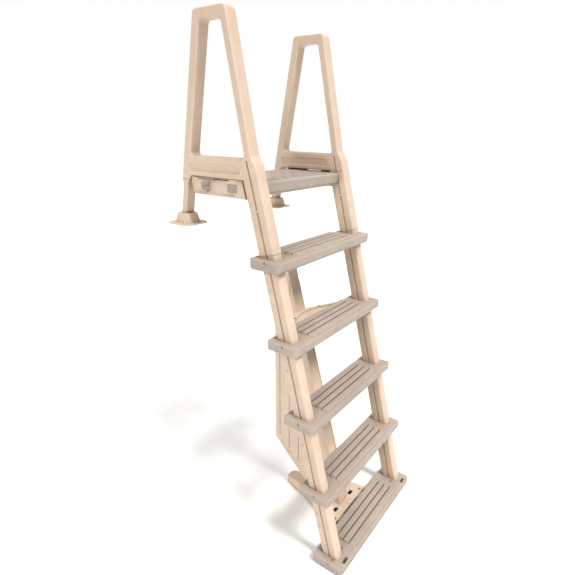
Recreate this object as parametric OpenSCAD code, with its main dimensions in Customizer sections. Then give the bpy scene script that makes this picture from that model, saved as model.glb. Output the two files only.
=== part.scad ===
// Adjustable A-frame pool ladder: a deck-mounted handrail frame with a landing
// platform, and a five-tread lower ladder with a swim barrier behind it.
// Units are millimetres. X runs across the ladder, -Y faces the swimmer,
// +Y faces the deck and Z is up from the pool floor.

/* [Ladder] */
// Vertical distance from one tread to the next
rise = 280; // [240:5:300]
// How far each tread steps back towards the deck
going = 72; // [50:1:90]
// Distance between the two side rails, centre to centre
rail_gauge = 516; // [460:1:580]
// Height of the top tread's centre above the pool floor
top_tread_z = 1140; // [1100:5:1180]

/* [Treads] */
// Overall tread length
tread_len = 610; // [540:1:660]
// Tread depth from front to back
tread_depth = 132; // [110:1:150]
// Tread thickness
tread_t = 40; // [34:1:46]
// Wall thickness of the moulded treads
tread_wall = 4.5; // [3:0.5:6]
// Half the length of the grip grooves
grip_half = 184; // [120:1:200]
// Height of the raised grip bars
bar_h = 8.5; // [3:0.5:10]

/* [Rails] */
// Side rail width
rail_w = 40; // [36:1:44]
// Side rail depth, square to its length
rail_d = 74; // [66:1:80]
// Wall of the moulded rails
rail_wall = 4; // [3:0.5:5]

/* [Handrails] */
// Handrail tube width
hand_w = 46; // [40:1:52]
// Height of the handrail's top above the top tread
hand_top = 762; // [700:1:850]
// Depth of the front leg of the loop
front_leg = 30; // [26:1:38]
// Depth of the rear leg of the loop
rear_leg = 34; // [30:1:40]

/* [Deck legs] */
// Deck post width
post_w = 36; // [30:1:37]
// Deck post depth
post_d = 24; // [20:1:25]
// Height of the deck surface above the top tread
deck_h = 87; // [60:1:120]
// Side of the square deck flange
flange_s = 106; // [90:1:120]
// Spacing of the deck screws
hole_gap = 78; // [60:1:90]
// Radius of the deck screw holes
hole_r = 4; // [2.5:0.5:5]

/* [Hidden] */
$fn = 48;

y_shift = -50.6;
cream = [0.86, 0.75, 0.60];
taupe = [0.62, 0.57, 0.53];
steel = [0.35, 0.33, 0.31];
half_g = rail_gauge / 2;
lean = atan(going / rise);          // side rails
rear_k = 0.2;                    // rear leg: run per rise
rear_lean = atan(rear_k);
front_k = 0.204;                    // front leg of the loop
axis_y0 = -1;                       // rail axis at the top tread's centre height

// frame of the top tread's centre
module at_top() { translate([0, y_shift, top_tread_z]) children(); }
module both() { children(); mirror([1, 0, 0]) children(); }
module side(s) { if (s < 0) children(); else mirror([1, 0, 0]) children(); }

// extrude a (y, z) outline across x, centred
module across(w) { translate([-w / 2, 0, 0]) rotate([90, 0, 90]) linear_extrude(w) children(); }

// local frame of the side rail: z runs up the rail, origin on its axis at the top tread
module on_rail() { translate([-half_g, axis_y0, 0]) rotate([-lean, 0, 0]) children(); }

// two octagonal lobes side by side, w wide in x and d deep in y, with a groove of depth g
module lobes(w, d, c, g) {
  a = w / 2; b = d / 2; h = 2.6;
  polygon([[-a, b - c], [-a, h + 1.5], [-a + g, 1.2], [-a + g, -1.2], [-a, -h - 1.5], [-a, -b + c],
           [-a + c, -b], [a - c, -b], [a, -b + c], [a, -h - 1.5], [a - g, -1.2], [a - g, 1.2],
           [a, h + 1.5], [a, b - c], [a - c, b], [-a + c, b]]);
}

// ---------------------------------------------------------------- side rails
module nub(y, z) {
  translate([-rail_w / 2 + 1, y, z]) rotate([0, -90, 0])
    intersection() { cylinder(h = 3.4, r = 6); translate([0, -7, -1]) cube([7, 14, 6]); }
}
module rail() {
  difference() {
    intersection() {
      union() {
        on_rail() translate([0, 0, -1180]) linear_extrude(1180 + 30.6) lobes(rail_w, rail_d, 9, 6);
        for (i = [0:3]) on_rail() {
          nub(19, (-88 - rise * i) / cos(lean));
          nub(19, (-140 - rise * i) / cos(lean));
          nub(19, (-250 - rise * i) / cos(lean));
          nub(-19, (-140 - rise * i) / cos(lean));
        }
      }
      translate([-half_g - 60, -400, -top_tread_z]) cube([120, 600, 1400]);
    }
    on_rail() translate([0, 0, -1140]) linear_extrude(1300) lobes(rail_w - 2 * rail_wall, rail_d - 2 * rail_wall, 7.5, 4.5);
    // clearance holes for the tread screws
    for (i = [0:4]) translate([-half_g - rail_w / 2 - 5, -going * i - 5, 12 - rise * i])
      rotate([0, 90, 0]) cylinder(h = 12, r = 2.6);
  }
}

// -------------------------------------------------------------------- treads
// points of an arc, for rounded outlines
function arc(x, y, r, a0, a1, n) = [for (i = [0:n]) let (a = a0 + (a1 - a0) * i / n) [x + r * cos(a), y + r * sin(a)]];
// end view of a slab h deep and t thick: round top edges, sloping underside edges
function slab(h, t, r, c) = concat(
  arc(h / 2 - r, t / 2 - r, r, 90, 0, 4), arc(h / 2 - 3, -t / 2 + 13, 3, 0, -45, 2), arc(h / 2 - c - 2, -t / 2 + 4, 4, -45, -90, 2),
  arc(-h / 2 + c + 2, -t / 2 + 4, 4, -90, -135, 2), arc(-h / 2 + 3, -t / 2 + 13, 3, -135, -180, 2), arc(-h / 2 + r, t / 2 - r, r, 180, 90, 4));
module tread_blank(l, d, t) {
  intersection() {
    across(l) polygon(slab(d, t, 8, 11));
    translate([0, d/2, 0]) rotate([90, 0, 0]) linear_extrude(d) polygon(slab(l, t, 8, 10));
    translate([0, 0, -t/2]) linear_extrude(t)
      polygon(concat(arc(l/2 - 18, d/2 - 18, 18, 0, 90, 5), arc(-l/2 + 18, d/2 - 18, 18, 90, 180, 5),
                     arc(-l/2 + 18, -d/2 + 18, 18, 180, 270, 5), arc(l/2 - 18, -d/2 + 18, 18, 270, 360, 5)));
  }
}
// raised grip bar between y0 and y1, with sloping ends; f is the run of its front edge
module grip_bar(y0, y1, f) {
  z0 = tread_t / 2 - 6; z1 = tread_t / 2 + bar_h;
  intersection() {
    across(2 * grip_half + 40) polygon([[y0 - f, z0], [y0 - f, tread_t / 2 - 0.5], [y0, z1 - 1.6], [y0 + 1.6, z1], [y1 - 1.6, z1], [y1, z1 - 1.6], [y1, z0]]);
    translate([0, 200, 0]) rotate([90, 0, 0]) linear_extrude(400)
      polygon([[-grip_half - 8, z0], [-grip_half - 6, tread_t / 2], [-grip_half - 1.4, z1 - 2.4], [-grip_half + 1.6, z1],
               [grip_half - 1.6, z1], [grip_half + 1.4, z1 - 2.4], [grip_half + 6, tread_t / 2], [grip_half + 8, z0]]);
  }
}
// rounded slot along x
module slot_x(hl, w, h) {
  union() {
    translate([-hl, -w/2, 0]) cube([2 * hl, w, h]);
    translate([-hl, 0, 0]) cylinder(h = h, r = w/2);
    translate([hl, 0, 0]) cylinder(h = h, r = w/2);
  }
}
module tread(last) {
  t = tread_t; w = tread_wall; sx = rail_w / 2 + w + 1;
  difference() {
    union() {
      tread_blank(tread_len, tread_depth, t);
      grip_bar(-50, -30.8, 5);
      grip_bar(-25.2, -2.8, 0);
      grip_bar(2.8, 25.2, 0);
      grip_bar(30.8, 57, 0);
    }
    // hollow underside: middle bays, divided by ribs
    for (x = [-half_g + sx + 1, -68, 72])
      for (y = [-tread_depth/2 + 12, 2])
        translate([x, y, -t/2 - 1]) cube([x < -100 ? half_g - sx - 73 : x > 0 ? half_g - sx - 73 : 136, tread_depth/2 - 14, t - 2 * w + 1]);
    // sockets that the rails pass through
    both() on_rail_socket() translate([0, 0, -60]) linear_extrude(120)
      polygon([[-rail_w/2 - 0.4, -rail_d/2 + 8.6], [-rail_w/2 + 8.6, -rail_d/2 - 0.4], [rail_w/2 - 8.6, -rail_d/2 - 0.4],
               [rail_w/2 + 0.4, -rail_d/2 + 8.6], [rail_w/2 + 0.4, rail_d/2 - 8.6], [rail_w/2 - 8.6, rail_d/2 + 0.4],
               [-rail_w/2 + 8.6, rail_d/2 + 0.4], [-rail_w/2 - 0.4, rail_d/2 - 8.6]]);
    // screw holes through the end walls
    both() translate([-tread_len/2 - 5, -5, 12]) rotate([0, 90, 0]) { cylinder(h = 30, r = 2.2); cylinder(h = 8, r = 4.6); }
    // drain notch under each end
    both() translate([-tread_len/2 - 1, 20, -t/2 - 1]) cube([8, 9, 10]);
    if (last) {
      both() translate([-half_g - 15, -tread_depth/2 + 7, 0]) cube([30, 12, t]);
      both() translate([-half_g - 15, 33, 6]) cube([30, 13, t]);
      for (x = [half_g - 37, half_g + 28]) both() translate([x, -14, -t]) cylinder(h = 2 * t, r = 2.2);
    }
  }
}
module on_rail_socket() { translate([-half_g, axis_y0, 0]) rotate([-lean, 0, 0]) children(); }
module tread_at(i) { at_top() translate([0, -going * i, -rise * i]) color(taupe) tread(i == 4); }

module pan_screw(r, l, hr) {
  union() { translate([0, 0, -l]) cylinder(h = l, r = r); cylinder(h = 2, r = hr); }
}

// ---------------------------------------------------------------- handrails
function yb(z) = 393 + (238 - z) * rear_k;      // back of the rear leg
function yf(z) = 63 + (z - 338) * front_k;      // front of the front leg
module loop_profile() {
  zt = hand_top; zi = zt - 31; zo = 331; zl = 264;
  difference() {
    polygon([[yb(238) - rear_leg, 238], [yb(238), 238], [yb(zt - 7), zt - 7], [yb(zt) - 6, zt],
             [yf(zt) + 11, zt], [yf(zt) + 2, zt - 5], [yf(zt - 16) - 0.5, zt - 16], [yf(340), 340], [44, 310], [39, 290], [33, zl], [93, zl],
             [yb(zl) - rear_leg - 8, zl], [yb(255) - rear_leg, 255]]);
    polygon([[yb(zo) - rear_leg - 11, zo], [yb(zo + 4) - rear_leg - 3, zo + 4], [yb(zo + 13) - rear_leg, zo + 13],
             [yb(zi - 12) - rear_leg, zi - 12], [yb(zi - 3) - rear_leg - 3, zi - 3], [yb(zi) - rear_leg - 11, zi],
             [yf(zi) + front_leg + 13, zi], [yf(zi - 4) + front_leg + 4, zi - 4], [yf(zi - 14) + front_leg, zi - 14],
             [yf(zo + 12) + front_leg, zo + 12], [yf(zo + 4) + front_leg + 3, zo + 4], [yf(zo) + front_leg + 10, zo]]);
  }
}
module stadium(y0, y1, z0, z1, d) {
  r = (z1 - z0) / 2;
  translate([0, 0, 0]) union() {
    translate([0, y0 + r, z0]) cube([d, y1 - y0 - 2 * r, z1 - z0]);
    translate([0, y0 + r, z0 + r]) rotate([0, 90, 0]) cylinder(h = d, r = r);
    translate([0, y1 - r, z0 + r]) rotate([0, 90, 0]) cylinder(h = d, r = r);
  }
}
module handrail() {
  leg_h = 312 / cos(lean);
  difference() {
    union() {
      translate([-half_g, 0, 0]) across(hand_w) loop_profile();
      // lower leg: same two-lobed section as the rail, a little wider
      on_rail() translate([0, 0, 31.4]) linear_extrude(leg_h - 44.4) lobes(rail_w + 4, rail_d + 2, 9, 6);
      // spigot that telescopes in the rail
      on_rail() translate([0, 0, -150]) linear_extrude(190) lobes(rail_w - 2 * rail_wall - 1.4, rail_d - 2 * rail_wall - 1.4, 7.5, 4.5);
    }
    // seam groove carried up into the crossbar zone
    both_faces() on_rail() translate([-hand_w / 2 - 1, -2, 250]) cube([6, 4, leg_h + 14 - 250]);
    // shallow panel lines in the lower half of the leg
    both_faces() for (g = [[21, 40, 132], [-18, 56, 122]]) on_rail() translate([-rail_w / 2 - 3, g[0] - 0.8, g[1]]) cube([2.2, 1.6, g[2] - g[1]]);
    // recessed band along the crossbar, both faces
    both_faces() translate([-half_g - hand_w / 2 - 1, 0, 0]) { stadium(114, 346, 281, 309, 2.6); stadium(120, 340, 286, 304, 5); }
    // bore of the lower leg and spigot
    on_rail() translate([0, 0, -151]) linear_extrude(151 + 40) lobes(rail_w - 2 * rail_wall - 8, rail_d - 2 * rail_wall - 8, 6, 4.5);
    on_rail() translate([0, 0, 40]) linear_extrude(230) lobes(rail_w - 5, rail_d - 7, 6, 4.5);
    // socket for the deck post
    rear_axis() translate([-post_w / 2 - 0.75, -post_d / 2 - 0.75, -20]) cube([post_w + 1.5, post_d + 1.5, 260]);
    // hollow legs and top bar of the loop
    hollow(36, 0, rear_leg - 8, 490, 712, true);
    hollow(36, 0, front_leg - 8, 350, 712, false);
    translate([-half_g - 18, yf(731) + 34, hand_top - 26]) cube([36, 80, 21]);
    // adjusting slot near the foot of the rear leg
    translate([-half_g - hand_w / 2 - 1, yb(251) - 29, 250]) cube([2.5, 24, 2.5]);
  }
}
module both_faces() { children(); translate([-2 * half_g, 0, 0]) mirror([1, 0, 0]) children(); }
// frame of the deck post: z runs up the rear leg, origin at its lower end
module rear_axis() { translate([-half_g, yb(238) - rear_leg / 2, 238]) rotate([rear_lean, 0, 0]) children(); }
module hollow(w, o, d, z0, z1, rear) {
  if (rear) translate([-half_g, 0, 0]) across(w)
    polygon([[yb(z0) - 4 - d, z0], [yb(z0) - 4, z0], [yb(z1) - 4, z1], [yb(z1) - 4 - d, z1]]);
  else translate([-half_g, 0, 0]) across(w)
    polygon([[yf(z0) + 4, z0], [yf(z0) + 4 + d, z0], [yf(z1) + 4 + d, z1], [yf(z1) + 4, z1]]);
}

// ------------------------------------------------------------- side brackets
latch_y = [150, 274];
module bracket() {
  x0 = -half_g - 21;
  zb = 204; zt = 263.5;
  difference() {
    union() {
      translate([x0, 0, 0]) rotate([90, 0, 90]) linear_extrude(8)
        polygon([[lean_back(zb) + 0.4, zb], [326, zb], [336, 214], [342, 243], [340, zt - 4], [340, zt], [lean_back(zt) + 0.4, zt]]);
      translate([x0, 0, 0]) rotate([90, 0, 90]) linear_extrude(40)
        polygon([[lean_back(zb) + 0.4, zb], [326, zb], [330, zb + 9], [lean_back(zb + 9) + 0.4, zb + 9]]);
    }
    for (y = latch_y) translate([x0 - 1, y - 21, 221]) cube([10, 42, 27]);
    // wide slot under the crossbar
    translate([x0 - 1, 164, 257.5]) cube([10, 74, 4]);
    // small arrow below each window
    for (y = latch_y) translate([x0 - 1, 0, 0]) rotate([90, 0, 90]) linear_extrude(2.2)
      polygon([[y - 6, 218], [y + 6, 218], [y, 212]]);
    for (y = [122, 316]) translate([x0 - 1, y, 255]) rotate([0, 90, 0]) cylinder(h = 10, r = 2.3);
  }
}
// back face of the lower leg at height z
function lean_back(z) = axis_y0 + going / rise * z + (rail_d + 2) / 2 / cos(lean);

// ------------------------------------------------------------------ platform
module platform() {
  xe = half_g + 12;             // end faces
  xf = half_g - rail_w / 2 - 3; // between the legs
  zt = 259; zb = 213; w = 5;
  difference() {
    union() {
      // middle part, between the legs
      across(2 * xf) polygon([[66, zb], [56, zb + 11], [55, zt - 5], [60, zt], [116, zt], [116, zb]]);
      // wide part, between the brackets
      across(2 * xe) polygon([[116, zb], [116, zt], [324, zt], [329, zt - 5], [329, zb + 8], [323, zb]]);
    }
    // hollow underside in bays
    for (x = [-xe + w, -xe / 2 + 3, 3, xe / 2 + 3]) {
      bw = xe / 2 - w - 3;
      translate([x, 122, zb - 1]) cube([bw, 97, zt - zb - w + 1]);
      translate([x, 224, zb - 1]) cube([bw, 98, zt - zb - w + 1]);
      xa = max(x, -xf + w); xb = min(x + bw, xf - w);
      translate([xa, 72, zb - 1]) cube([xb - xa, 45, zt - zb - w + 1]);
    }
    // raised grip bars on top, left by cutting shallow grooves, and broken by cross grooves
    for (k = [0:9]) translate([0, 78 + 26 * k, zt - 2.6]) slot_x(k < 2 ? xf - 24 : xe - 24, 6, 5);
    for (k = [0:8], j = [-3:3]) translate([j * 62 + (k % 2) * 31 - 15, 78 + 26 * k, zt - 1.8]) cube([5, 26, 5]);
    // openings for the latches
    for (y = latch_y) both() translate([-xe - 1, y - 21, 221]) cube([w + 3, 42, 27]);
  }
}

// ------------------------------------------------------------------- latches
module latch(y) {
  x0 = -half_g - 22.5;
  difference() {
    union() {
      translate([x0 + 1.5, y - 20, 222]) cube([9, 40, 25]);
      for (k = [0:4]) translate([x0, y - 19, 223.2 + 5 * k]) cube([3, 38, 2.6]);
      translate([x0 + 9, y - 14, 226]) cube([14, 28, 16]);
    }
    translate([x0 + 4, y - 11, 228]) cube([30, 22, 12]);
  }
}

// ----------------------------------------------------------------- deck legs
module deck_post() {
  difference() {
    rear_axis() difference() {
      translate([-post_w / 2, -post_d / 2, -170]) cube([post_w, post_d, 170 + 150]);
      translate([-post_w / 2 + 3, -post_d / 2 + 3, -180]) cube([post_w - 6, post_d - 6, 400]);
      // row of adjusting holes
      for (k = [0:3]) translate([-30, 0, 30 + 30 * k]) rotate([0, 90, 0]) cylinder(h = 60, r = 3.2);
    }
    translate([-half_g - 60, 300, deck_h - 50]) cube([120, 160, 56]);
    flange_screw_hole(3.4);
  }
}
flange_y = yb(deck_h + 20) - rear_leg / 2;
module flange_screw_hole(r) {
  translate([-half_g, flange_y + 4, deck_h + 22]) rotate([-90, 0, 0]) cylinder(h = 60, r = r);
}
module trap(b, t, h) { polygon([[-b/2, 0], [b/2, 0], [t/2, h], [-t/2, h]]); }
module frustum8(b, t, h) {
  intersection() {
    translate([0, 0, 0]) across(200) trap(b, t, h);
    translate([0, 100, 0]) rotate([90, 0, 0]) linear_extrude(200) trap(b, t, h);
    rotate([0, 0, 45]) across(200) trap(b * 1.12, t * 1.16, h);
    rotate([0, 0, 45]) translate([0, 100, 0]) rotate([90, 0, 0]) linear_extrude(200) trap(b * 1.12, t * 1.16, h);
  }
}
module deck_flange() {
  s = flange_s / 2;
  difference() {
    translate([-half_g, flange_y, deck_h]) difference() {
      union() {
        linear_extrude(6) polygon([[-s + 8, -s], [s - 8, -s], [s, -s + 8], [s, s - 8], [s - 8, s], [-s + 8, s], [-s, s - 8], [-s, -s + 8]]);
        translate([0, 0, 5.9]) frustum8(80, 60, 34);
      }
      for (x = [-1, 1], y = [-1, 1]) translate([x * hole_gap / 2, y * hole_gap / 2, -1]) cylinder(h = 30, r = hole_r);
    }
    // socket for the post
    difference() {
      rear_axis() translate([-post_w / 2, -post_d / 2, -190]) cube([post_w, post_d, 190]);
      translate([-half_g - 60, 300, deck_h - 50]) cube([120, 160, 56]);
    }
    // hole and spot-face for the screw that holds the post
    flange_screw_hole(3.4);
    translate([-half_g, flange_y + 34, deck_h + 22]) rotate([-90, 0, 0]) cylinder(h = 30, r = 7.5);
  }
}
module flange_screw() {
  translate([-half_g, flange_y + 34, deck_h + 22]) rotate([-90, 0, 0]) pan_screw(3.2, 29, 6);
}

// --------------------------------------------------------------- swim barrier
function fin_front(z) = going / rise * z + 104 + 32 * (z + 1110) / 1060;
module fin() {
  zb = -top_tread_z + 30;
  difference() {
    across(58) polygon([[fin_front(-58), -58], [146, -58], [168, -140], [176, -300], [176, -905], [-30, zb + 0], [fin_front(zb), zb]]);
    // hollow, open at the base
    across(50) polygon([[fin_front(-62) + 5, -62], [142, -62], [164, -142], [171, -301], [171, -902], [-33, zb - 1], [fin_front(zb) + 5, zb - 1]]);
    // vertical grooves on both side faces
    for (g = [[150, -885], [98, -935], [46, -985]])
      both() translate([-30, g[0] - 3, g[1]]) cube([3.2, 6, -110 - g[1]]);
    // screw holes in the front face
    for (x = [-14, 14]) translate([x, fin_front(-275) - 3, -272]) rotate([-90, 0, 0]) cylinder(h = 12, r = 2.1);
  }
  // stiffening rib along the front face's edge
  both() translate([-27.5, 0, 0]) across(5) polygon([[fin_front(-300) - 2.2, -300], [fin_front(-300) + 3, -300], [fin_front(-1080) + 3, -1080], [fin_front(-1080) - 2.2, -1080]]);
  // small nubs along the sloping lower edge
  for (t = [0.12, 0.3]) both() translate([-29, 176 - t * 206 - 12, -905 - t * 205 + 4]) rotate([0, -90, 0]) cylinder(h = 2.4, r = 5);
}
module gusset() {
  z0 = -rise - 2 + tread_t / 2 - 16; y0 = -going + tread_depth / 2;
  yf0 = fin_front(-275);
  difference() {
    union() {
      translate([0, 0, z0]) linear_extrude(14)
        polygon([[-178, y0], [178, y0], [178, y0 + 6], [46, yf0 + 1], [34, yf0 + 9], [-34, yf0 + 9], [-46, yf0 + 1], [-178, y0 + 6]]);
      // flange that carries the fin
      across(54) polygon([[fin_front(-270) - 9, -270], [fin_front(-270) + 5, -270], [fin_front(-300) + 5, -300], [fin_front(-300) - 9, -300]]);
    }
    // trough that leaves a raised rim
    translate([0, 0, z0 + 9]) linear_extrude(10)
      polygon([[-150, y0 + 5], [150, y0 + 5], [146, y0 + 7.5], [40, yf0 - 15], [-40, yf0 - 15], [-146, y0 + 7.5]]);
    // room for the fin
    across(80) polygon([[fin_front(-240), -240], [fin_front(-320), -320], [200, -320], [200, -240]]);
    for (x = [-84, 84]) translate([x, 34, z0 - 1]) cylinder(h = 20, r = 2.1);
  }
}
module base() {
  zb = -top_tread_z; yt5 = -4 * going + tread_depth / 2;
  difference() {
    union() {
      translate([0, 0, zb]) linear_extrude(30)
        polygon([[-128, yt5 + 8], [128, yt5 + 8], [128, yt5 + 38], [122, -158], [84, -80], [58, 0], [31, 96], [24, 108], [12, 115], [-12, 115], [-24, 108], [-31, 96],
                 [-58, 0], [-84, -80], [-122, -158], [-128, yt5 + 38]]);
      for (x = [-80, 80]) translate([x - 18, yt5, zb]) cube([36, 12, 26]);
    }
    // hollow underside
    for (s = [-1, 1]) translate([0, 0, zb - 1]) linear_extrude(26)
      polygon([[s * 3, yt5 + 14], [s * 121, yt5 + 14], [s * 121, yt5 + 36], [s * 116, -156], [s * 79, -82], [s * 53, -3], [s * 27, 92], [s * 20, 104], [s * 3, 108]]);
    // open pocket beside the fin
    translate([48, -186, zb - 1]) cube([26, 16, 60]);
    translate([-74, -186, zb - 1]) cube([26, 16, 60]);
    for (x = [-104, 104]) translate([x, yt5 + 20, zb - 1]) cylinder(h = 60, r = 2.6);
    for (x = [-18, 18]) translate([x, 70, zb - 1]) cylinder(h = 60, r = 2.1);
  }
}

// --------------------------------------------------------------------- nodes
module left_handrail() color(cream) at_top() handrail();
module right_handrail() color(cream) at_top() mirror([1, 0, 0]) handrail();
module left_side_bracket() color(cream) at_top() bracket();
module right_side_bracket() color(cream) at_top() mirror([1, 0, 0]) bracket();
module platform_deck() color(taupe) at_top() platform();
module left_front_latch() color(taupe) at_top() latch(latch_y[0]);
module left_rear_latch() color(taupe) at_top() latch(latch_y[1]);
module right_front_latch() color(taupe) at_top() mirror([1, 0, 0]) latch(latch_y[0]);
module right_rear_latch() color(taupe) at_top() mirror([1, 0, 0]) latch(latch_y[1]);
module bracket_rivets() color(cream) at_top()
  both() for (y = [122, 316]) translate([-half_g - 21, y, 255]) rotate([0, -90, 0]) pan_screw(2.3, 8, 4.5);
module left_deck_post() color(cream) at_top() deck_post();
module right_deck_post() color(cream) at_top() mirror([1, 0, 0]) deck_post();
module left_deck_flange() color(cream) at_top() deck_flange();
module right_deck_flange() color(cream) at_top() mirror([1, 0, 0]) deck_flange();
module flange_screws() color(steel) at_top() both() flange_screw();
module left_rail() color(cream) at_top() rail();
module right_rail() color(cream) at_top() mirror([1, 0, 0]) rail();
module tread_1() tread_at(0);
module tread_2() tread_at(1);
module tread_3() tread_at(2);
module tread_4() tread_at(3);
module tread_5() tread_at(4);
module tread_end_screws() color(steel) at_top()
  for (i = [0:4]) both() translate([-tread_len / 2 + 3, -going * i - 5, 12 - rise * i]) rotate([0, -90, 0]) pan_screw(2.2, 20, 4);
module bottom_tread_screws() color(steel) at_top()
  for (x = [half_g - 37, half_g + 28]) both() translate([x, -14 - 4 * going, tread_t / 2 - 4 * rise]) pan_screw(2.2, 18, 3.6);
module barrier_fin() color(cream) at_top() fin();
module barrier_gusset() color(cream) at_top() gusset();
module barrier_base() color(cream) at_top() base();
module gusset_screws() color(steel) at_top() both() translate([84, 34, -rise - 2 + tread_t / 2 - 2]) pan_screw(2.1, 12, 5);
module base_screws() color(steel) at_top() both() translate([104, -4 * going + tread_depth / 2 + 20, -top_tread_z + 30]) pan_screw(2.6, 16, 4.6);

left_handrail();
right_handrail();
left_side_bracket();
right_side_bracket();
platform_deck();  // platform
left_front_latch();
left_rear_latch();
right_front_latch();
right_rear_latch();
bracket_rivets();
left_deck_post();
right_deck_post();
left_deck_flange();
right_deck_flange();
flange_screws();
left_rail();
right_rail();
tread_1();
tread_2();
tread_3();
tread_4();
tread_5();
tread_end_screws();
bottom_tread_screws();
barrier_fin();
barrier_gusset();
barrier_base();
gusset_screws();
base_screws();
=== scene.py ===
import math

import bmesh
import bpy
from mathutils import Matrix, Vector


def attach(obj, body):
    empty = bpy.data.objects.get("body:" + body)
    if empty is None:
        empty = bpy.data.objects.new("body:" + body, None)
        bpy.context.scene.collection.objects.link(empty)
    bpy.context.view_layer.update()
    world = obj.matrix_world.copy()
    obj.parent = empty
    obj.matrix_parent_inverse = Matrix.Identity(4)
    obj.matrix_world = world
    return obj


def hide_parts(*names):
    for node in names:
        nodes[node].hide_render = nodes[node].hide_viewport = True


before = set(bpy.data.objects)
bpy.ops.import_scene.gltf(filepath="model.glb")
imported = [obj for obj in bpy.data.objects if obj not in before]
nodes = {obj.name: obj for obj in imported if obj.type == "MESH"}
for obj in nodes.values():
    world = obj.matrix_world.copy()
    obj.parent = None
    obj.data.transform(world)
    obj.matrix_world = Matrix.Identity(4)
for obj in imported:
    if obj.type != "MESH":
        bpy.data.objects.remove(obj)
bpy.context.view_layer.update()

# The part's own frame: millimetres about the top tread's centre, as the CAD is drawn.
SHIFT_Y = -50.6
TOP_Z = 1140.0
RISE, GOING = 280.0, 72.0
HALF = 258.0
LEAN = math.atan(GOING / RISE)
AXIS_Y0 = -1.0


def W(x, y, z):
    """A point about the top tread's centre, in mm, as a place in the row frame, in metres."""
    return Vector((x, y + SHIFT_Y, z + TOP_Z)) / 1000.0


def yb(z):
    return 393 + (238 - z) * 0.2


def yf(z):
    return 63 + (z - 338) * 0.204


def fin_front(z):
    return GOING / RISE * z + 104 + 32 * (z + 1110) / 1060


# ------------------------------------------------------------------ materials
class Net:
    """A small helper that lays out shader nodes."""

    def __init__(self, name):
        self.mat = bpy.data.materials.new(name)
        self.mat.use_nodes = True
        self.t = self.mat.node_tree
        self.t.nodes.clear()
        self.out = self.add("ShaderNodeOutputMaterial")
        self.bsdf = self.add("ShaderNodeBsdfPrincipled")
        self.t.links.new(self.bsdf.outputs[0], self.out.inputs[0])

    def add(self, kind, **inputs):
        n = self.t.nodes.new(kind)
        for k, v in inputs.items():
            n.inputs[k.replace("_", " ")].default_value = v
        return n

    def link(self, a, b):
        self.t.links.new(a, b)

    def math(self, op, a, b=None, clamp=False):
        n = self.t.nodes.new("ShaderNodeMath")
        n.operation = op
        n.use_clamp = clamp
        for i, v in enumerate((a, b)):
            if v is None:
                continue
            if hasattr(v, "node"):
                self.link(v, n.inputs[i])
            else:
                n.inputs[i].default_value = v
        return n.outputs[0]

    def mix(self, fac, a, b, blend="MIX"):
        n = self.t.nodes.new("ShaderNodeMix")
        n.data_type = "RGBA"
        n.blend_type = blend
        for sock, v in ((n.inputs[0], fac), (n.inputs[6], a), (n.inputs[7], b)):
            if hasattr(v, "node"):
                self.link(v, sock)
            elif isinstance(v, (int, float)):
                sock.default_value = v
            else:
                sock.default_value = (*v, 1)
        return n.outputs[2]

    def ramp(self, fac, lo, hi, a=0.0, b=1.0):
        n = self.t.nodes.new("ShaderNodeMapRange")
        n.clamp = True
        self.link(fac, n.inputs[0])
        for i, v in enumerate((lo, hi, a, b)):
            n.inputs[i + 1].default_value = v
        return n.outputs[0]

    def noise(self, vec, scale, detail=3.0, rough=0.55):
        n = self.add("ShaderNodeTexNoise", Scale=scale, Detail=detail, Roughness=rough)
        self.link(vec, n.inputs["Vector"])
        return n.outputs[0]


def srgb(r, g, b):
    def f(c):
        c = c / 255.0
        return c / 12.92 if c <= 0.04045 else ((c + 0.055) / 1.055) ** 2.4

    return (f(r), f(g), f(b))


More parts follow.
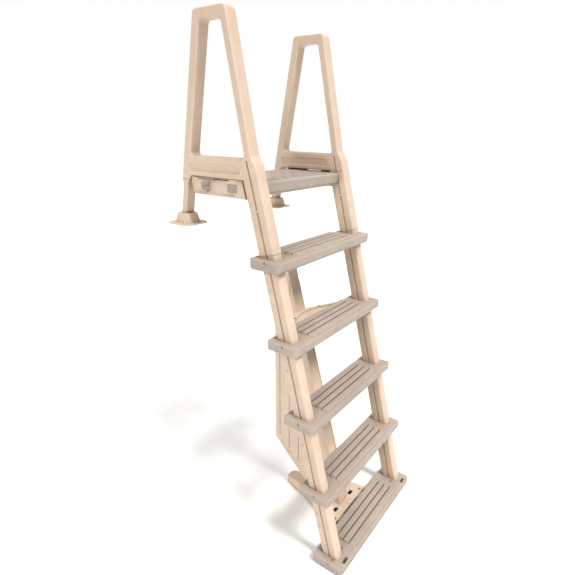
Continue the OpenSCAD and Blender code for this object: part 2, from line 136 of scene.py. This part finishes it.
def moulded(name, base, light, dark, grain, rough, edge_highlight):
    """Moulded resin: slow colour drift, pigment flecks, a fine stipple grain, satin patches, a painted highlight that
    pales the convex edges (broken up by scuff noise), and painted shade that darkens the folds from ambient occlusion.
    """
    n = Net(name)
    co = n.add("ShaderNodeTexCoord").outputs["Object"]
    drift = n.noise(co, 2.2, 3.0, 0.5)
    cloud = n.noise(co, 14.0, 4.0, 0.6)
    fleck = n.noise(co, 420.0, 2.0, 0.7)
    col = n.mix(n.ramp(drift, 0.35, 0.68), base, light)
    col = n.mix(n.ramp(cloud, 0.42, 0.72, 0.0, 0.30), col, dark)
    col = n.mix(n.ramp(fleck, 0.60, 0.80, 0.0, 0.14), col, dark)
    # convex edges get a painted highlight, paler and broken up by scuff noise; folds get painted shade
    geo = n.add("ShaderNodeNewGeometry")
    point = geo.outputs["Pointiness"]
    scuff_and_highlight_noise = n.noise(co, 60.0, 4.0, 0.65)
    # painted highlight: convex edges lightened towards the light colour
    edge = n.math("MULTIPLY", n.ramp(point, 0.515, 0.60), n.ramp(scuff_and_highlight_noise, 0.35, 0.65, 0.25, 1.0))
    col = n.mix(n.math("MULTIPLY", edge, edge_highlight), col, light)
    # painted shade: recesses and folds darkened towards a warm brown by ambient occlusion
    ao = n.add("ShaderNodeAmbientOcclusion", Distance=0.05)
    ao.samples = 6
    painted_shade = n.ramp(ao.outputs["AO"], 0.20, 0.90, 0.72, 0.0)
    col = n.mix(painted_shade, col, tuple(c * f for c, f in zip(dark, (0.72, 0.62, 0.52))))
    n.link(col, n.bsdf.inputs["Base Color"])
    # fine leather-like stipple of the mould and slow waviness of a hollow moulding
    vor = n.add("ShaderNodeTexVoronoi", Scale=grain)
    vor.feature = "SMOOTH_F1"
    n.link(co, vor.inputs["Vector"])
    fine = n.noise(co, grain * 1.7, 3.0, 0.6)
    wave = n.noise(co, 9.0, 2.0, 0.4)
    h = n.math("ADD", n.math("MULTIPLY", vor.outputs[0], 0.55), n.math("MULTIPLY", fine, 0.45))
    b1 = n.add("ShaderNodeBump", Strength=0.16, Distance=0.0005)
    n.link(h, b1.inputs["Height"])
    b2 = n.add("ShaderNodeBump", Strength=0.10, Distance=0.004)
    n.link(wave, b2.inputs["Height"])
    n.link(b1.outputs[0], b2.inputs["Normal"])
    n.link(b2.outputs[0], n.bsdf.inputs["Normal"])
    r = n.ramp(cloud, 0.3, 0.7, rough - 0.05, rough + 0.07)
    r = n.math("ADD", r, n.math("MULTIPLY", n.ramp(scuff_and_highlight_noise, 0.4, 0.7), 0.06))
    n.link(n.math("SUBTRACT", r, n.math("MULTIPLY", edge, 0.08), True), n.bsdf.inputs["Roughness"])
    n.bsdf.inputs["IOR"].default_value = 1.48
    n.bsdf.inputs["Subsurface Weight"].default_value = 0.05
    n.bsdf.inputs["Subsurface Radius"].default_value = (0.012, 0.008, 0.005)
    n.bsdf.inputs["Subsurface Scale"].default_value = 0.5
    return n.mat


def steel(name):
    n = Net(name)
    co = n.add("ShaderNodeTexCoord").outputs["Object"]
    brushed = n.add("ShaderNodeMapping")
    brushed.inputs["Scale"].default_value = (1.0, 18.0, 1.0)
    n.link(co, brushed.inputs["Vector"])
    streak = n.noise(brushed.outputs[0], 260.0, 3.0, 0.6)
    spot = n.noise(co, 300.0, 3.0, 0.6)
    col = n.mix(n.ramp(streak, 0.3, 0.7), srgb(150, 146, 140), srgb(118, 113, 107))
    col = n.mix(n.ramp(spot, 0.62, 0.72, 0.0, 0.5), col, srgb(92, 76, 60))
    n.link(col, n.bsdf.inputs["Base Color"])
    n.link(n.ramp(streak, 0.2, 0.8, 0.28, 0.46), n.bsdf.inputs["Roughness"])
    n.bsdf.inputs["Metallic"].default_value = 1.0
    b = n.add("ShaderNodeBump", Strength=0.2, Distance=0.0003)
    n.link(streak, b.inputs["Height"])
    n.link(b.outputs[0], n.bsdf.inputs["Normal"])
    return n.mat


CREAM = moulded("cream_resin", srgb(197, 176, 156), srgb(206, 186, 167), srgb(179, 154, 132), 900.0, 0.50, 0.6)
TAUPE = moulded("taupe_resin", srgb(159, 146, 135), srgb(170, 158, 147), srgb(138, 124, 113), 700.0, 0.55, 0.5)
LATCH = moulded("latch_resin", srgb(168, 154, 142), srgb(180, 167, 155), srgb(146, 131, 119), 700.0, 0.5, 0.6)
STEEL = steel("zinc_screw")

taupe_nodes = {"platform", "left_front_latch", "left_rear_latch", "right_front_latch", "right_rear_latch"} | {f"tread_{i}" for i in range(1, 6)}
steel_nodes = {"flange_screws", "tread_end_screws", "bottom_tread_screws", "gusset_screws", "base_screws"}


def paint(o, mat):
    o.data.materials.clear()
    o.data.materials.append(mat)
    for p in o.data.polygons:
        p.material_index = 0


def soften(o, width, segs=2, angle=28.0):
    """Cleans the exported triangles into faces, rounds the sharp edges and shades the rest smoothly."""
    w = o.modifiers.new("weld", "WELD")
    w.merge_threshold = 0.00002
    d = o.modifiers.new("faces", "DECIMATE")
    d.decimate_type = "DISSOLVE"
    d.angle_limit = math.radians(1.0)
    if width:
        b = o.modifiers.new("round", "BEVEL")
        b.width = width
        b.segments = segs
        b.limit_method = "ANGLE"
        b.angle_limit = math.radians(angle)
        b.use_clamp_overlap = True
    n = o.modifiers.new("normals", "WEIGHTED_NORMAL")
    n.keep_sharp = False
    n.weight = 60
    for p in o.data.polygons:
        p.use_smooth = True


# ------------------------------------------------------------- rounded solids
def fillet(corners, steps=5):
    """A closed outline of (u, v, radius) corners, with each corner turned into an arc."""
    out = []
    n = len(corners)
    for i, (u, v, r) in enumerate(corners):
        p = Vector((u, v))
        a = Vector(corners[i - 1][:2]) - p
        b = Vector(corners[(i + 1) % n][:2]) - p
        if r <= 0:
            out.append((u, v))
            continue
        half = a.angle(b) / 2
        reach = min(r / math.tan(half), a.length * 0.49, b.length * 0.49)
        r = reach * math.tan(half)
        pa, pb = p + a.normalized() * reach, p + b.normalized() * reach
        c = p + (a.normalized() + b.normalized()).normalized() * (r / math.sin(half))
        a0 = math.atan2(pa.y - c.y, pa.x - c.x)
        a1 = math.atan2(pb.y - c.y, pb.x - c.x)
        while a1 - a0 > math.pi:
            a1 -= 2 * math.pi
        while a1 - a0 < -math.pi:
            a1 += 2 * math.pi
        out += [(c.x + r * math.cos(a0 + (a1 - a0) * k / steps), c.y + r * math.sin(a0 + (a1 - a0) * k / steps)) for k in range(steps + 1)]
    return out


def area2(pts):
    return sum(pts[i - 1][0] * pts[i][1] - pts[i][0] * pts[i - 1][1] for i in range(len(pts)))


def inset(pts, d):
    """The outline moved d to its left, which is inwards on a counter-clockwise one."""
    out = []
    n = len(pts)
    for i in range(n):
        p = Vector(pts[i])
        e0 = (p - Vector(pts[i - 1])).normalized()
        e1 = (Vector(pts[(i + 1) % n]) - p).normalized()
        n0, n1 = Vector((-e0.y, e0.x)), Vector((-e1.y, e1.x))
        m = (n0 + n1).normalized()
        out.append(tuple(p + m * (d / max(0.35, m.dot(n0)))))
    return out


def slab_mesh(bm, outlines, half, r, place, steps=5):
    """A plate between -half and half with every edge of its outlines rounded to r. The first outline is the outside, the rest are holes."""
    outlines = [o if (area2(o) > 0) == (i == 0) else o[::-1] for i, o in enumerate(outlines)]
    levels = [(r * (1 - math.sin(math.pi / 2 * k / steps)), half - r * (1 - math.cos(math.pi / 2 * k / steps))) for k in range(steps + 1)]
    levels = levels + [(d, -h) for d, h in reversed(levels)]
    caps = ([], [])
    for o in outlines:
        rings = [[bm.verts.new(place(u, v, h)) for u, v in inset(o, d)] for d, h in levels]
        n = len(o)
        for lo, hi in zip(rings, rings[1:]):
            for i in range(n):
                j = (i + 1) % n
                bm.faces.new((lo[i], hi[i], hi[j], lo[j]))
        if len(outlines) == 1:
            bm.faces.new(rings[0])
            bm.faces.new(rings[-1][::-1])
        else:
            for cap, ring in zip(caps, (rings[0], rings[-1])):
                cap += [bm.edges.get((ring[i], ring[i - 1])) for i in range(n)]
    for cap in caps:
        if cap:
            bmesh.ops.triangle_fill(bm, use_beauty=True, use_dissolve=False, edges=cap)
    bmesh.ops.recalc_face_normals(bm, faces=bm.faces)


def mesh_from(bm, name):
    bmesh.ops.remove_doubles(bm, verts=bm.verts, dist=0.000002)
    bmesh.ops.dissolve_limit(bm, angle_limit=0.002, verts=bm.verts, edges=bm.edges)
    bmesh.ops.recalc_face_normals(bm, faces=bm.faces)
    me = bpy.data.meshes.new(name)
    bm.to_mesh(me)
    bm.free()
    o = bpy.data.objects.new(name, me)
    bpy.context.scene.collection.objects.link(o)
    return o


def boolean(o, other, op):
    m = o.modifiers.new("cut", "BOOLEAN")
    m.operation = op
    m.object = other
    m.solver = "EXACT"
    dg = bpy.context.evaluated_depsgraph_get()
    me = bpy.data.meshes.new_from_object(o.evaluated_get(dg))
    if len(me.vertices) < 8:
        print("boolean left nothing", o.name, other.name)
        o.modifiers.remove(m)
    else:
        o.modifiers.clear()
        o.data = me
    bpy.data.objects.remove(other)


def shade(o, angle=32.0, weight=True):
    for p in o.data.polygons:
        p.use_smooth = True
    o.data.set_sharp_from_angle(angle=math.radians(angle))
    if weight:
        n = o.modifiers.new("normals", "WEIGHTED_NORMAL")
        n.keep_sharp = True
        n.weight = 60


def turned(side, x, y0, z0, tilt):
    """A frame that runs up a leaning member: u is across in x, v its depth and h its length."""
    c, s_ = math.cos(tilt), math.sin(tilt)

    def place(u, v, h):
        return W(side * (x + u), y0 + v * c + h * s_, z0 - v * s_ + h * c)

    return place


def lobe_section(w, d, c, g, r=3.2):
    a, b = w / 2, d / 2
    right = [(a - c, -b, r), (a, c - b, r), (a, -4.4, 2.4), (a - g, -1.3, 0.9), (a - g, 1.3, 0.9), (a, 4.4, 2.4), (a, b - c, r), (a - c, b, r)]
    return fillet(right + [(-u, -v, q) for u, v, q in right], 3)


def prism(bm, outline, h0, h1, place, r=1.0, steps=3):
    """A bar along h with rounded ends."""
    mid, half = (h0 + h1) / 2, (h1 - h0) / 2
    slab_mesh(bm, [outline], half, r, lambda u, v, h: place(u, v, mid + h), steps)


def box_outline(u0, u1, v0, v1, r):
    return fillet([(u0, v0, r), (u1, v0, r), (u1, v1, r), (u0, v1, r)], 4)


def build_handrail(side, name, node):
    def on_side(u, v, h):
        return W(side * (HALF + h), u, v)

    leg = turned(side, HALF, AXIS_Y0, 0, LEAN)
    outer = [
        (yb(238) - 34, 238, 6.5), (yb(238), 238, 6.5), (yb(762), 762, 13), (yf(762), 762, 20), (yf(340), 340, 12), (44, 310, 14),
        (33, 264, 7), (yb(264) - 42, 264, 10), (yb(251) - 34, 251, 12),
    ]
    inner = [(yb(331) - 34, 331, 13), (yf(331) + 30, 331, 13), (yf(731) + 30, 731, 14), (yb(731) - 34, 731, 14)]
    bm = bmesh.new()
    slab_mesh(bm, [fillet(outer, 6), fillet(inner, 7)], 23.0, 6.0, on_side, 6)
    o = mesh_from(bm, name)
    bm = bmesh.new()
    prism(bm, lobe_section(44, 76, 9, 6), 31.4, 311.0, leg, 0.7, 2)
    boolean(o, mesh_from(bm, "leg"), "UNION")
    bm = bmesh.new()
    prism(bm, lobe_section(30.6, 64.6, 7.5, 4.5, 2.0), -150, 60, leg, 0.6, 2)
    boolean(o, mesh_from(bm, "spigot"), "UNION")
    for face in (1, -1):
        # groove carried up through the crossbar, with a bridge half way down
        bm = bmesh.new()
        x0 = face * 23
        tri = [(x0 + face * 2, -5.2), (x0 - face * 1.0, -2.2), (x0 - face * 6.6, -1.4), (x0 - face * 6.6, 1.4), (x0 - face * 1.0, 2.2), (x0 + face * 2, 5.2)]
        prism(bm, tri, 244, 336, leg, 0.4, 1)
        boolean(o, mesh_from(bm, "groove"), "DIFFERENCE")
        # soft channel along the crossbar
        bm = bmesh.new()
        mid = 23.0 * face

        def chan(u, v, h, mid=mid, face=face):
            return W(side * (HALF + mid - face * h), u, v)

        from_outline = box_outline(112, 348, 280, 310, 12.0)
        rings = [inset(from_outline, d) for d in (-2.0, -0.6, 0.6, 2.4, 5.0, 8.0)]
        depth = (-1.0, 0.0, 1.2, 3.2, 4.6, 5.0)
        loops = [[bm.verts.new(chan(u, v, h)) for u, v in ring] for ring, h in zip(rings, depth)]
        for lo, hi in zip(loops, loops[1:]):
            for i in range(len(lo)):
                j = (i + 1) % len(lo)
                bm.faces.new((lo[i], hi[i], hi[j], lo[j]))
        bm.faces.new(loops[0][::-1])
        bm.faces.new(loops[-1])
        boolean(o, mesh_from(bm, "channel"), "DIFFERENCE")
        # shallow panel lines in the lower half of the leg
        for v0, h0, h1 in ((21, 40, 132), (-18, 56, 122), (10, 60, 128)):
            bm = bmesh.new()
            prism(bm, box_outline(face * 22 - 1.0, face * 22 + 1.0, v0 - 0.7, v0 + 0.7, 0.3), h0, h1, leg, 0.3, 1)
            boolean(o, mesh_from(bm, "line"), "DIFFERENCE")
        # small bridge across the groove
        bm = bmesh.new()
        prism(bm, box_outline(face * 19.5 - 3.5, face * 19.5 + 3.5, -5.5, 5.5, 2.0), 174, 181, leg, 1.5, 2)
        boolean(o, mesh_from(bm, "bridge"), "UNION")
        # slot near the foot of the rear leg
        bm = bmesh.new()
        y = yb(251) - 29
        slab_mesh(bm, [box_outline(y, y + 24, 249.6, 252.6, 1.2)], 1.6, 0.4, lambda u, v, h, f=face: W(side * (HALF + f * 23 + h), u, v), 1)
        boolean(o, mesh_from(bm, "slot"), "DIFFERENCE")
    # socket for the deck post
    bm = bmesh.new()
    t = math.atan(0.2)
    rear = turned(side, HALF, yb(238) - 17, 238, -t)
    prism(bm, box_outline(-18.75, 18.75, -12.75, 12.75, 2.0), -20, 250, rear, 0.5, 1)
    boolean(o, mesh_from(bm, "socket"), "DIFFERENCE")
    paint(o, CREAM)
    shade(o, 30)
    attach(o, "handrail_frame")
    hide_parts(node)
    return o


def build_rail(side, name, node):
    leg = turned(side, HALF, AXIS_Y0, 0, LEAN)
    bm = bmesh.new()
    c, s_ = math.cos(LEAN), math.sin(LEAN)
    top = 30.6
    outer = lobe_section(40, 74, 9, 6)
    inner = lobe_section(32, 66, 7.5, 4.5, 2.0)

    def foot(v):
        return (-1140.0 + v * s_) / c

    def loop(pts, h=None, grow=0.0):
        return [bm.verts.new(leg(u, v, foot(v) + grow if h is None else h)) for u, v in pts]

    rings = [loop(outer), loop(outer, top - 0.5), loop(inset(outer, 0.5), top), loop(inner, top), loop(inner)]
    n = len(outer)
    for lo, hi in zip(rings, rings[1:] + rings[:1]):
        for i in range(n):
            j = (i + 1) % n
            bm.faces.new((lo[i], hi[i], hi[j], lo[j]))
    o = mesh_from(bm, name)
    # small moulded tabs on the outer and inner faces
    for i in range(4):
        for v0, h0 in ((19, -88), (19, -140), (19, -250), (-19, -140)):
            h = (h0 - RISE * i) / c
            for face in (1, -1):
                bm = bmesh.new()
                tab = fillet([(-6.5, -0.6, 0.8), (6.5, -0.6, 0.8), (5.6, 3.4, 2.6), (2.0, 6.2, 3.0), (-2.0, 6.2, 3.0), (-5.6, 3.4, 2.6)], 4)
                slab_mesh(bm, [tab], 2.6, 1.2, lambda u, v, q, f=face: leg(f * (20 + q - 0.2), v0 + u, h + v), 3)
                boolean(o, mesh_from(bm, "tab"), "UNION")
    paint(o, CREAM)
    shade(o, 30)
    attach(o, "lower_ladder")
    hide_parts(node)
    return o


for name, o in nodes.items():
    mat = LATCH if name.endswith("_latch") else TAUPE if name in taupe_nodes else STEEL if name in steel_nodes else CREAM
    paint(o, mat)
    if name in steel_nodes or name == "bracket_rivets":
        soften(o, 0.0005, 2)
    elif name.startswith("tread_"):
        soften(o, 0.0008, 2)
    elif name == "platform":
        soften(o, 0.0009, 2)
    elif "latch" in name:
        soften(o, 0.0005, 2)
    elif "bracket" in name:
        soften(o, 0.0012, 2)
    elif "fin" in name:
        soften(o, 0.0018, 2)
    else:
        soften(o, 0.0012, 2)

build_handrail(-1, "left_grab_handrail", "left_handrail")
build_handrail(1, "right_grab_handrail", "right_handrail")
build_rail(-1, "left_side_rail", "left_rail")
build_rail(1, "right_side_rail", "right_rail")

# ------------------------------------------------------------ camera and light
cam_data = bpy.data.cameras.new("photo_camera")
cam = bpy.data.objects.new("photo_camera", cam_data)
bpy.context.scene.collection.objects.link(cam)
F_PX, CX, CY = 453.8300620626488, 307.01206339, 298.49349523
cam_data.sensor_width = 36.0
cam_data.lens = 36.0 * F_PX / 575.0
cam_data.shift_x = (287.5 - CX) / 575.0
cam_data.shift_y = (CY - 287.5) / 575.0
ROWS = ((0.576034, -0.817241, 0.017368), (-0.277198, -0.215283, -0.936384), (0.768991, 0.534574, -0.350548))
right, down, ahead = (Vector(r).normalized() for r in ROWS)
basis = Matrix((right, -down, -ahead)).transposed().to_4x4()
cam.matrix_world = Matrix.Translation(Vector((-1.38462, -0.97775, 1.56424))) @ basis
cam_data.clip_start = 0.05
cam_data.clip_end = 60.0
bpy.context.scene.camera = cam


def plain(name, colour, rough):
    n = Net(name)
    co = n.add("ShaderNodeTexCoord").outputs["Object"]
    spread = n.noise(co, 1.2, 2.0, 0.5)
    n.link(n.mix(n.ramp(spread, 0.3, 0.7), colour, tuple(c * 0.985 for c in colour)), n.bsdf.inputs["Base Color"])
    n.link(n.ramp(n.noise(co, 20.0), 0.3, 0.7, rough - 0.03, rough + 0.03), n.bsdf.inputs["Roughness"])
    return n.mat


def floor_and_light():
    bm = bmesh.new()
    bmesh.ops.create_circle(bm, cap_ends=True, segments=96, radius=14.0)
    me = bpy.data.meshes.new("floor")
    bm.to_mesh(me)
    bm.free()
    floor = bpy.data.objects.new("floor", me)
    bpy.context.scene.collection.objects.link(floor)
    floor.location = (0, 0, -0.0005)
    paint(floor, plain("floor_white", (0.93, 0.93, 0.93), 0.7))

    # white studio: a lit backdrop behind the object, a dimmer room on the other side
    world = bpy.data.worlds.new("studio")
    bpy.context.scene.world = world
    world.use_nodes = True
    t = world.node_tree
    bg = t.nodes["Background"]
    co = t.nodes.new("ShaderNodeTexCoord")
    along = t.nodes.new("ShaderNodeVectorMath")
    along.operation = "DOT_PRODUCT"
    along.inputs[1].default_value = (0.82, 0.57, 0.0)
    t.links.new(co.outputs["Generated"], along.inputs[0])
    rng = t.nodes.new("ShaderNodeMapRange")
    rng.interpolation_type = "SMOOTHSTEP"
    t.links.new(along.outputs["Value"], rng.inputs[0])
    for i, v in enumerate((0.0, 0.55, 0.20, 1.0)):
        rng.inputs[i + 1].default_value = v
    t.links.new(rng.outputs[0], bg.inputs[1])
    bg.inputs[0].default_value = (1.0, 1.0, 1.0, 1)

    def sun(name, place, spread, power, colour):
        d = bpy.data.lights.new(name, "SUN")
        d.energy = power
        d.angle = math.radians(spread)
        d.color = colour
        o = bpy.data.objects.new(name, d)
        bpy.context.scene.collection.objects.link(o)
        o.location = place
        o.rotation_euler = (-Vector(place)).to_track_quat("-Z", "Y").to_euler()
        return o

    sun("key", (-0.2, -3.2, 4.9), 16.0, 3.45, (1.0, 0.98, 0.945))
    sun("side", (-3.6, -0.3, 2.4), 20.0, 1.75, (1.0, 0.985, 0.955))
    bpy.context.scene.view_settings.view_transform = "Standard"


floor_and_light()
